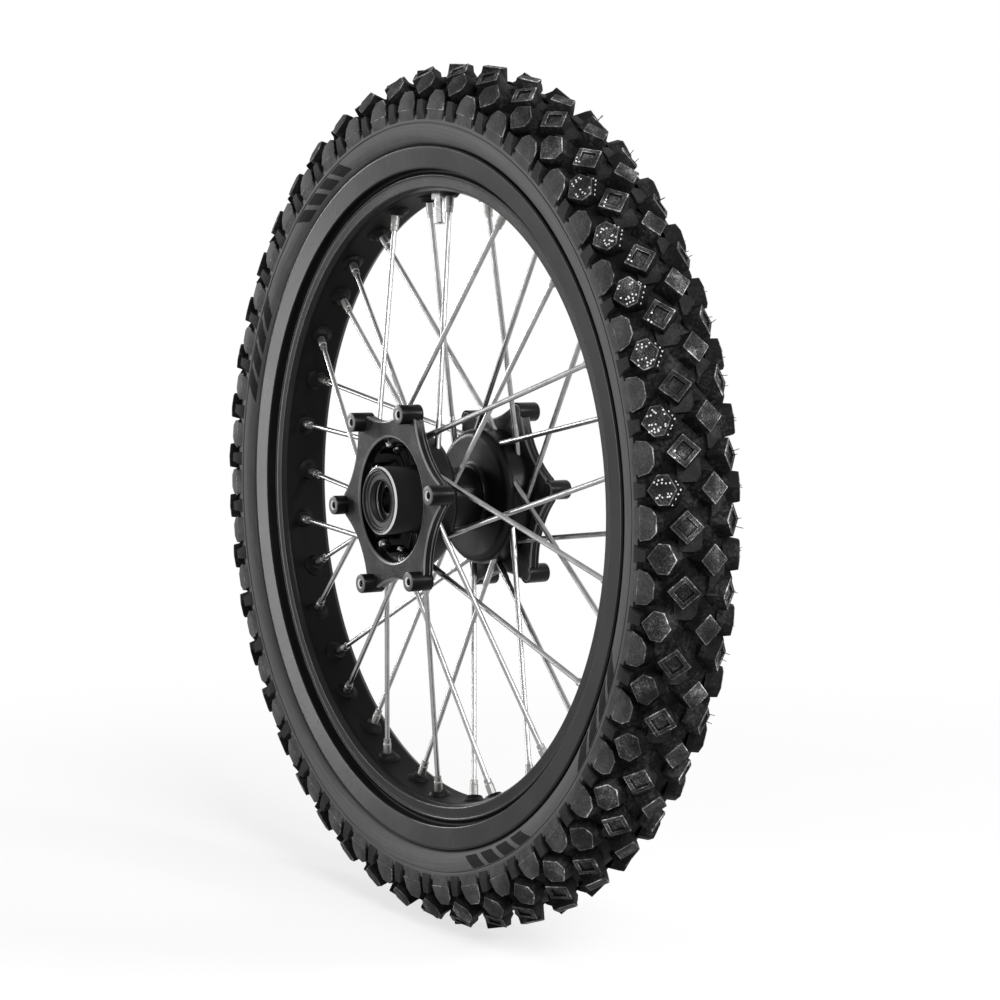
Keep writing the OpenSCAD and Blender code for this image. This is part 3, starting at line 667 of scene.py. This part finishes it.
class WHEEL_OT_marks(bpy.types.Operator):
    """Adds pale spots on knobs of one stretch of the near tread, and the vent hairs of a new tyre"""

    bl_idname = "wheel.marks"
    bl_label = "Mould Marks"

    def execute(self, context):
        tyre = context.scene.wheel_tyre
        step = 2 * pi / tyre.pitches
        chance = Random(11)
        spots = bmesh.new()
        for k in SPOTTED:
            top = at_angle(tyre.phase + k * step) @ row_place(tyre, OUTER_LEAN, NEAR, tyre.rise)
            for x in SPOTS_ACROSS:
                for y in SPOTS_ALONG:
                    across = x + chance.uniform(-SPOT_SHIFT, SPOT_SHIFT)
                    along = y + chance.uniform(-SPOT_SHIFT, SPOT_SHIFT)
                    if chance.random() < SPOTS_KEPT and abs(along) < TOP_HALF - TOP_LOSS * abs(across):
                        self.spot(spots, top, (across, along, 0))
            for y in WALL_SPOTS:
                along = y + chance.uniform(-WALL_SHIFT, WALL_SHIFT)
                across = WALL_SLOPE * abs(along) + WALL_MIDDLE
                self.spot(spots, top, (across, along, WALL_DEPTH))
            inner = at_angle(tyre.phase + (k + 0.5) * step) @ row_place(tyre, INNER_LEAN, NEAR)
            for across, along in INNER_SPOTS:
                if chance.random() < INNER_KEPT:
                    self.spot(spots, inner, (across, along, 0))
        piece("vent_spots", spots, [FINISH["pip"]])
        hairs = bmesh.new()
        for k in HAIRY:
            for lean, shift in ((INNER_LEAN, 0.5), (OUTER_LEAN, 0)):
                top = at_angle(tyre.phase + (k + shift) * step) @ row_place(tyre, lean, FAR)
                for _ in range(HAIRS):
                    self.hair(hairs, top, chance)
        piece("vent_hairs", hairs, [FINISH["tread_wall"]])
        return {"FINISHED"}

    def spot(self, bm, top, place):
        """A low dome at a place in millimetres in a knob's frame."""
        grow = Matrix.Diagonal((1, 1, SPOT_HEIGHT, 1))
        where = top @ Matrix.Translation(Vector(place) * MM) @ grow
        bmesh.ops.create_icosphere(bm, subdivisions=1, radius=SPOT * MM, matrix=where)

    def hair(self, bm, top, chance):
        """A thin rubber hair, standing a little tilted on a knob's top."""
        length = chance.uniform(HAIR_SHORT, HAIR_LONG)
        across = chance.uniform(-HAIR_SPREAD, HAIR_SPREAD)
        along = chance.uniform(-HAIR_SPREAD, HAIR_SPREAD)
        middle = Vector((across, along, length / 2)) * MM
        tilt = Matrix.Rotation(chance.uniform(-HAIR_TILT, HAIR_TILT), 4, "X")
        bmesh.ops.create_cone(
            bm,
            segments=5,
            radius1=HAIR_FOOT * MM,
            radius2=HAIR_TIP * MM,
            depth=length * MM,
            matrix=top @ Matrix.Translation(middle) @ tilt,
        )


# The lacing, in millimetres and degrees: nine spokes in each of four sets, two on each flange
SET, FIRST_NIPPLE, PITCH, LACING = 9, 8, 40, 40
HEAD_CIRCLE, NIPPLE_CIRCLE, NIPPLE_LEVEL = 46, 223.2, 3
# Turn of each set's first nipple, by side and by the way that the spokes lean
SET_TURN = {(NEAR, -1): 0, (NEAR, 1): 20, (FAR, -1): 30, (FAR, 1): 10}
# Levels of the two rows of spoke holes
ROW_IN, ROW_OUT = 28, 38


def spoke_run(side, turn, k):
    """Head seat and nipple seat of a spoke, in millimetres."""
    nipple = FIRST_NIPPLE + PITCH * k + SET_TURN[side, turn]
    a, b = radians(nipple), radians(nipple + LACING * turn)
    level = ROW_OUT if side == -turn else ROW_IN
    head = Vector((HEAD_CIRCLE * cos(b), side * level, HEAD_CIRCLE * sin(b)))
    return head, Vector((NIPPLE_CIRCLE * cos(a), side * NIPPLE_LEVEL, NIPPLE_CIRCLE * sin(a)))


def all_spokes():
    """Head seat and nipple seat of every spoke."""
    return [spoke_run(side, turn, k) for side in (NEAR, FAR) for turn in (-1, 1) for k in range(SET)]


# The near half of the rim's outside in section, each round as an arc
LIP = arc(251.7, -27.0, 1.5, 0, 90, 4)
FLANGE = [(251.0, -28.38), (238.7, -26.22)]
FLANGE_FOOT = arc(238.0, -24.6, 1.5, 90, 180, 4)
GROOVE = arc(235.0, -20.8, 1.5, 0, -150, 5)
RIB = arc(232.2, -19.6, 1.3, 30, 150, 5) + [(229.0, -19.9)]
ROLL = arc(224.6, -18.6, 1.5, 90, 150, 3)
BED = arc(231.0, -12.6, 10, 145, 180, 5) + [(221.0, -4.0)]
RIM_OUT = LIP + FLANGE + FLANGE_FOOT + GROOVE + RIB + ROLL + BED
# Its inside, from the well over the bead seat to the lip
WELL = [(224.0, -8.0), (226.0, -9.4), (236.0, -10.6), (240.8, -12.4)]
RIM_IN = WELL + [(241.2, -19.6), (246.4, -23.4), (252.0, -26.4)]
# The faces painted dark as shade: the bed within a radius, and the groove between two radii and within a
# level
BED_TOP, GROOVE_FOOT, GROOVE_TOP, GROOVE_LEVEL = 221.6, 233.3, 236.9, 25.6
# Raised seat round a nipple, as (radius, height from the nipple's head towards the hub)
SEAT_FOOT = ((10.4, -2.0), (9.8, 1.4), (8.2, 2.5), (7.0, 3.5), (6.3, 4.7))
SEAT_TOP = ((5.7, 5.5), (5.0, 5.7), (3.3, 5.7), (3.2, 3.0))


class WHEEL_OT_rim(bpy.types.Operator):
    """Builds the rim: flared flanges, grooves and rolls, a bed painted dark as shade and the raised nipple
    seats
    """

    bl_idname = "wheel.rim"
    bl_label = "Rim"

    def execute(self, context):
        far_out, far_in = ([(r, -y) for r, y in reversed(half)] for half in (RIM_OUT, RIM_IN))
        bm = spun(RIM_OUT + far_out + far_in + RIM_IN, steps=240)
        for f in bm.faces:
            middle = f.calc_center_median()
            r = reach(middle)
            in_groove_shade = GROOVE_FOOT < r < GROOVE_TOP and abs(middle.y) < GROOVE_LEVEL * MM
            # Bed and groove faces take the finish painted dark as shade
            f.material_index = 1 if r < BED_TOP or in_groove_shade else 0
        rim = piece("rim_finished", bm, [FINISH["rim"], FINISH["bed"]])
        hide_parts("rim")
        seats = bmesh.new()
        for head, nipple in all_spokes():
            join(seats, turned_part(SEAT_FOOT + SEAT_TOP, nipple, head - nipple, steps=20))
        # The seats take a finish painted dark as shade
        piece("rim_seats", seats, [FINISH["seat"]])
        return {"FINISHED"}


# The star flange, in millimetres and degrees, as in the CAD source
BOSS_CIRCLE, WAIST, ARM = 68, 57, 6.2
SCALLOP = 1.8 * BOSS_CIRCLE
ARMS, ARM_PITCH = 6, 60
STAR_TURN = radians(6.6)
# Turns at which the outline of one arm is drawn, closer at its tip
STAR_STEPS = (-30, -25, -20, -16, -12.5, -9.5, -7, -5.2, -4, -2, 0, 2, 4, 5.2, 7, 9.5, 12.5, 16, 20, 25)
# Levels of the flange from the wheel's middle, with the inset of its outline: back, groove and front
STAR_BACK = ((41.0, 1.2), (41.3, 0.4), (41.9, 0))
STAR_GROOVE = ((43.6, 0), (44.0, 0.9), (45.6, 0.9), (46.0, 0))
STAR_FRONT = ((48.1, 0), (48.7, 0.4), (49.0, 1.2), (49.0, 2.6))
STAR_EDGE = STAR_BACK + STAR_GROOVE + STAR_FRONT
# Levels and radii of the edge of the star's opening
STAR_MOUTH = ((49.0, 46.6), (48.5, 45.5), (47.8, 45.0), (41.0, 45.0))
# A face is on the star's edge up to the first share of its normal along the axle, and flat from the second
SIDE_SHARE, FACE_SHARE = 0.2, 0.95
# A bolt boss as (radius, level), with the level of its faced end and the radius of its hole's mouth
BOSS_WALL = ((7, 41.2), (7, 57.5), (6.75, 58.2), (6.1, 58.5), (3.5, 58.5), (2.6, 57.7), (2.6, 47), (0, 46))
BOSS_END, BOSS_HOLE = 58.3, 3.3
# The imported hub's own stars lie beyond this radius and level, and its bare nose between these radii
OLD_STAR_FOOT, OLD_STAR_BACK = 44.9, 40.9
NOSE_IN, NOSE_OUT, NOSE_LEVEL = 22.9, 25, 57
# Bead and groove turned where the barrel meets a flange's back
COLLAR_BEAD = ((21.5, 15.6), (22.6, 15.8), (23.6, 16.2), (23.9, 16.8), (23.6, 17.4), (22.8, 17.7))
COLLAR_FLARE = ((22.8, 18.4), (23.6, 19.2), (25.2, 19.9), (27.0, 20.2), (21.5, 20.2))


def merged(node):
    """A merged copy of a CAD node's mesh."""
    bm = bmesh.new()
    bm.from_mesh(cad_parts[node].data)
    bmesh.ops.remove_doubles(bm, verts=bm.verts, dist=2e-6)
    bmesh.ops.dissolve_degenerate(bm, dist=1e-6, edges=bm.edges)
    return bm


def star_reach(turn):
    """Radius of the star's outline at an angle in degrees from a boss."""
    half = ARM_PITCH / 2
    turn = abs((turn + half) % ARM_PITCH - half)
    a = radians(half - turn)
    scallop = SCALLOP * cos(a) - sqrt((SCALLOP - WAIST) ** 2 - (SCALLOP * sin(a)) ** 2)
    plate = min(BOSS_CIRCLE, scallop)
    side = BOSS_CIRCLE * sin(radians(turn))
    if side >= ARM:
        return plate
    return max(plate, BOSS_CIRCLE * cos(radians(turn)) + sqrt(ARM**2 - side**2))


def star_plate(side):
    """One star flange: a lofted ring with a groove cast in its edge and rounded corners."""
    turns = [k * ARM_PITCH + t for k in range(ARMS) for t in STAR_STEPS]
    edge = [Matrix.Rotation(radians(t), 2) @ Vector((star_reach(t), 0)) for t in turns]
    inward = []
    for before, after in zip(edge[-1:] + edge[:-1], edge[1:] + edge[:1]):
        run = (after - before).normalized()
        inward.append(Vector((-run.y, run.x)))
    rings = [(level, [p + n * inset for p, n in zip(edge, inward)]) for level, inset in STAR_EDGE]
    rings += [(level, [p.normalized() * radius for p in edge]) for level, radius in STAR_MOUTH]
    rings = [[(p.x * MM, side * level * MM, p.y * MM) for p in ring] for level, ring in rings]
    return lofted(rings, closed=True)[0]


def bosses_of(side):
    """The bolt bosses of one star, each with a rounded end and a threaded hole."""
    wall = [((BOSS_CIRCLE + r) * MM, side * y * MM, 0) for r, y in BOSS_WALL]
    bm = swept(wall, steps=28, centre=(BOSS_CIRCLE * MM, 0, 0))
    for f in bm.faces:
        middle = f.calc_center_median()
        from_axis = hypot(middle.x - BOSS_CIRCLE * MM, middle.z) / MM
        if from_axis < BOSS_HOLE:
            f.material_index = 2
        elif abs(middle.y) > BOSS_END * MM:
            f.material_index = 1
    repeat(bm, ARMS)
    return bm


class WHEEL_OT_hub(bpy.types.Operator):
    """Builds the hub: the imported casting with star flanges, bosses and turned collars"""

    bl_idname = "wheel.hub"
    bl_label = "Hub"

    def execute(self, context):
        bm = merged("hub_shell")
        old = [f for f in bm.faces if all(self.on_star(v.co) for v in f.verts)]
        bmesh.ops.delete(bm, geom=old, context="FACES")
        for f in bm.faces:
            middle = f.calc_center_median()
            on_nose = NOSE_IN < reach(middle) < NOSE_OUT and abs(middle.y) > NOSE_LEVEL * MM
            f.material_index = 1 if on_nose else 0
        body = piece("hub_casting", bm, [FINISH["hub"], FINISH["machined"]], sharp=radians(28))
        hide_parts("hub_shell")
        plates, bosses, collars = bmesh.new(), bmesh.new(), bmesh.new()
        for side in (NEAR, FAR):
            join(plates, star_plate(side))
            join(bosses, bosses_of(side))
            join(collars, spun([(r, side * y) for r, y in COLLAR_BEAD + COLLAR_FLARE], steps=120))
        for bm in (plates, bosses):
            bmesh.ops.transform(bm, matrix=at_angle(STAR_TURN), verts=bm.verts)
        # The rounded corners between a star's edge and its face get the painted edge highlight
        for f in plates.faces:
            across = abs(f.normal.y)
            f.material_index = 0 if across <= SIDE_SHARE else 1 if across < FACE_SHARE else 2
        coats = [FINISH["hub"], FINISH["star_edge_highlight"], FINISH["star"]]
        piece("hub_stars", plates, coats, sharp=radians(24))
        piece("hub_bosses", bosses, [FINISH["hub"], FINISH["boss"], FINISH["machined"]])
        piece("hub_collars", collars, [FINISH["hub"]])
        return {"FINISHED"}

    def on_star(self, point):
        """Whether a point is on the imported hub's own stars."""
        return reach(point) > OLD_STAR_FOOT and abs(point.y) > OLD_STAR_BACK * MM


# A spoke head that stands in the hub's bowl, as (radius, height): its collar and its rounded end
HEAD_COLLAR = ((3.3, 1.6), (3.3, 4.2), (4.2, 4.4), (4.2, 5.4), (3.6, 5.9))
HEAD_END = ((2.5, 6.0), (2.4, 6.8), (1.4, 7.4), (0, 7.5))
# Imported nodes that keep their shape, by finish
PLAIN_NODES = {
    "zinc": ("spokes_near_out", "spokes_near_in", "spokes_far_out", "spokes_far_in"),
    "nickel": ("nipples_near", "nipples_far"),
    "machined": ("valve_stem", "valve_nut", "valve_cap", "axle_spacer"),
    "brass": ("valve_core", "valve_pin", "bearing_near_cage", "bearing_far_cage"),
    "tube": ("inner_tube", "rim_strip"),
    "seal": ("oil_seal_near", "oil_seal_far"),
    "bearing": [f"bearing_{end}_{race}_ring" for end in ("near", "far") for race in ("outer", "inner")]
    + ["bearing_near_balls", "bearing_far_balls"],
    "shield": ("bearing_near_shields", "bearing_far_shields"),
}


class WHEEL_OT_metal(bpy.types.Operator):
    """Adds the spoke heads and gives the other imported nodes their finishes"""

    bl_idname = "wheel.metal"
    bl_label = "Metal and Small Parts"

    def execute(self, context):
        heads = bmesh.new()
        for head, nipple in all_spokes():
            join(heads, turned_part(HEAD_COLLAR + HEAD_END, head, head - nipple, steps=12))
        piece("spoke_heads", heads, [FINISH["machined"]])
        for finish, names in PLAIN_NODES.items():
            for name in names:
                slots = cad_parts[name].data.materials
                slots.clear()
                slots.append(FINISH[finish])
        return {"FINISHED"}


# Half the floor's width, and the distances in metres over which its shadow fades into white
FLOOR_HALF, SHADOW_FULL, SHADOW_GONE = 6, 0.3, 1.3
# Share of plain white in the floor near the wheel
FLOOR_WHITE = 0.72
# Lights by the name of their power, as (place, width) in metres
LIGHTS = {
    "key": ((2.3, -0.3, 1.3), 1.1),
    "front": ((-1.62, -1.62, -0.05), 0.5),
    "side": ((-2.6, -0.9, 0.6), 0.6),
    "back": ((1.7, 1.05, 0.8), 0.4),
}
# Width of the camera's sensor in millimetres, and how far it sees in metres
SENSOR, SIGHT = 36, 50


def seen_plain(tree):
    """1 where the camera, a reflection or a clear part looks, 0 for light on a matt surface."""
    path = add(tree, "ShaderNodeLightPath").outputs
    inputs = {0: path["Is Camera Ray"], 1: path["Is Glossy Ray"]}
    seen = add(tree, "ShaderNodeMath", inputs, operation="MAXIMUM").outputs["Value"]
    inputs = {0: seen, 1: path["Is Transmission Ray"]}
    return add(tree, "ShaderNodeMath", inputs, operation="MAXIMUM").outputs["Value"]


class WHEEL_OT_stage(bpy.types.Operator):
    """Adds the floor, the surroundings, the lights and the camera"""

    bl_idname = "wheel.stage"
    bl_label = "Stage"

    def execute(self, context):
        scene = context.scene
        stage = scene.wheel_stage
        scene.view_settings.view_transform = "Standard"
        self.floor(scene)
        self.surroundings(scene, stage)
        self.lights(scene, stage)
        self.camera(scene, stage)
        return {"FINISHED"}

    def floor(self, scene):
        """A matt floor, white to the camera, with the wheel's shadow kept round its foot."""
        bm = bmesh.new()
        bmesh.ops.create_grid(bm, x_segments=1, y_segments=1, size=FLOOR_HALF)
        bmesh.ops.translate(bm, verts=bm.verts, vec=(0, 0, CAD_BOX[0][2]))
        mesh = bpy.data.meshes.new("floor")
        bm.to_mesh(mesh)
        bm.free()
        material, tree, shader, place = start("pale_floor", Roughness=0.9, Specular_IOR_Level=0)
        inputs = {"Vector": place, "Scale": per_size(FLOOR_CLOUD), "Detail": 2, "Roughness": 0.6}
        cloud = add(tree, "ShaderNodeTexNoise", inputs).outputs["Fac"]
        dress(tree, shader, [(0.3, "#f6f6f6"), (0.7, "#fcfcfc")], cloud)
        far = add(tree, "ShaderNodeVectorMath", {0: place}, operation="LENGTH").outputs["Value"]
        inputs = {"Value": far, "From Min": SHADOW_FULL, "From Max": SHADOW_GONE, "To Min": FLOOR_WHITE}
        share = add(tree, "ShaderNodeMapRange", inputs, interpolation_type="SMOOTHSTEP").outputs["Result"]
        inputs = {0: share, 1: seen_plain(tree)}
        shown = add(tree, "ShaderNodeMath", inputs, operation="MULTIPLY").outputs["Value"]
        white = add(tree, "ShaderNodeEmission", {"Color": linear(WHITE), "Strength": 1}).outputs["Emission"]
        inputs = {0: shown, 1: shader.outputs["BSDF"], 2: white}
        mixed = add(tree, "ShaderNodeMixShader", inputs).outputs["Shader"]
        tree.links.new(mixed, tree.nodes["Material Output"].inputs["Surface"])
        mesh.materials.append(material)
        floor = bpy.data.objects.new("floor", mesh)
        scene.collection.objects.link(floor)

    def surroundings(self, scene, stage):
        """A white background to the camera and in reflections, and a weaker light from all round."""
        world = bpy.data.worlds.new("studio")
        world.use_nodes = True
        scene.world = world
        tree = world.node_tree
        tree.nodes.clear()
        seen = seen_plain(tree)
        soft = add(tree, "ShaderNodeBackground", {"Color": linear(WHITE), "Strength": stage.ambient})
        white = add(tree, "ShaderNodeBackground", {"Color": linear(WHITE), "Strength": 1})
        mixed = add(tree, "ShaderNodeMixShader", {0: seen, 1: soft.outputs[0], 2: white.outputs[0]})
        add(tree, "ShaderNodeOutputWorld", {"Surface": mixed.outputs[0]})

    def lights(self, scene, stage):
        """Area lights that face the wheel's centre."""
        for name, (spot, size) in LIGHTS.items():
            lamp = bpy.data.lights.new(f"{name}_light", "AREA")
            lamp.size = size
            lamp.energy = getattr(stage, name)
            light = bpy.data.objects.new(f"{name}_light", lamp)
            light.location = spot
            light.rotation_euler = Vector(spot).to_track_quat("Z", "Y").to_euler()
            scene.collection.objects.link(light)

    def camera(self, scene, stage):
        """The photograph's camera, turned so that the wheel's centre is off the picture's middle."""
        a, e = stage.azimuth, stage.elevation
        back = Vector((cos(e) * sin(a), -cos(e) * cos(a), sin(e)))
        turn = back.to_track_quat("Z", "Y").to_matrix().to_4x4()
        turn = turn @ Matrix.Rotation(atan(stage.centre[0] / stage.focal), 4, "Y")
        turn = turn @ Matrix.Rotation(-atan(stage.centre[1] / stage.focal), 4, "X")
        lens = bpy.data.cameras.new("camera")
        lens.sensor_width = SENSOR
        lens.lens = SENSOR * stage.focal
        lens.clip_end = SIGHT
        camera = bpy.data.objects.new("camera", lens)
        camera.matrix_world = Matrix.Translation(back * stage.distance) @ turn
        scene.collection.objects.link(camera)
        scene.camera = camera


OPERATORS = (
    WHEEL_OT_casing,
    WHEEL_OT_tread,
    WHEEL_OT_marks,
    WHEEL_OT_rim,
    WHEEL_OT_hub,
    WHEEL_OT_metal,
    WHEEL_OT_stage,
)


class WHEEL_PT_panel(bpy.types.Panel):
    """The wheel's pieces, sizes, colours and stage in the sidebar"""

    bl_label = "Spoked Wheel"
    bl_space_type = "VIEW_3D"
    bl_region_type = "UI"
    bl_category = "Wheel"

    def draw(self, context):
        scene = context.scene
        for operator in OPERATORS:
            self.layout.operator(operator.bl_idname)
        for group in (scene.wheel_tyre, scene.wheel_colours, scene.wheel_stage):
            for name in group.__annotations__:
                self.layout.prop(group, name)


CLASSES = (WheelTyre, WheelColours, WheelStage, *OPERATORS, WHEEL_PT_panel)


def register():
    for cls in CLASSES:
        bpy.utils.register_class(cls)
    bpy.types.Scene.wheel_tyre = PointerProperty(type=WheelTyre)
    bpy.types.Scene.wheel_colours = PointerProperty(type=WheelColours)
    bpy.types.Scene.wheel_stage = PointerProperty(type=WheelStage)


def unregister():
    del bpy.types.Scene.wheel_stage
    del bpy.types.Scene.wheel_colours
    del bpy.types.Scene.wheel_tyre
    for cls in reversed(CLASSES):
        bpy.utils.unregister_class(cls)


def main():
    """Builds the wheel and its stage."""
    register()
    FINISH.update(finishes(bpy.context.scene.wheel_colours))
    bpy.ops.wheel.casing()
    bpy.ops.wheel.tread()
    bpy.ops.wheel.marks()
    bpy.ops.wheel.rim()
    bpy.ops.wheel.hub()
    bpy.ops.wheel.metal()
    bpy.ops.wheel.stage()


if __name__ == "__main__":
    main()
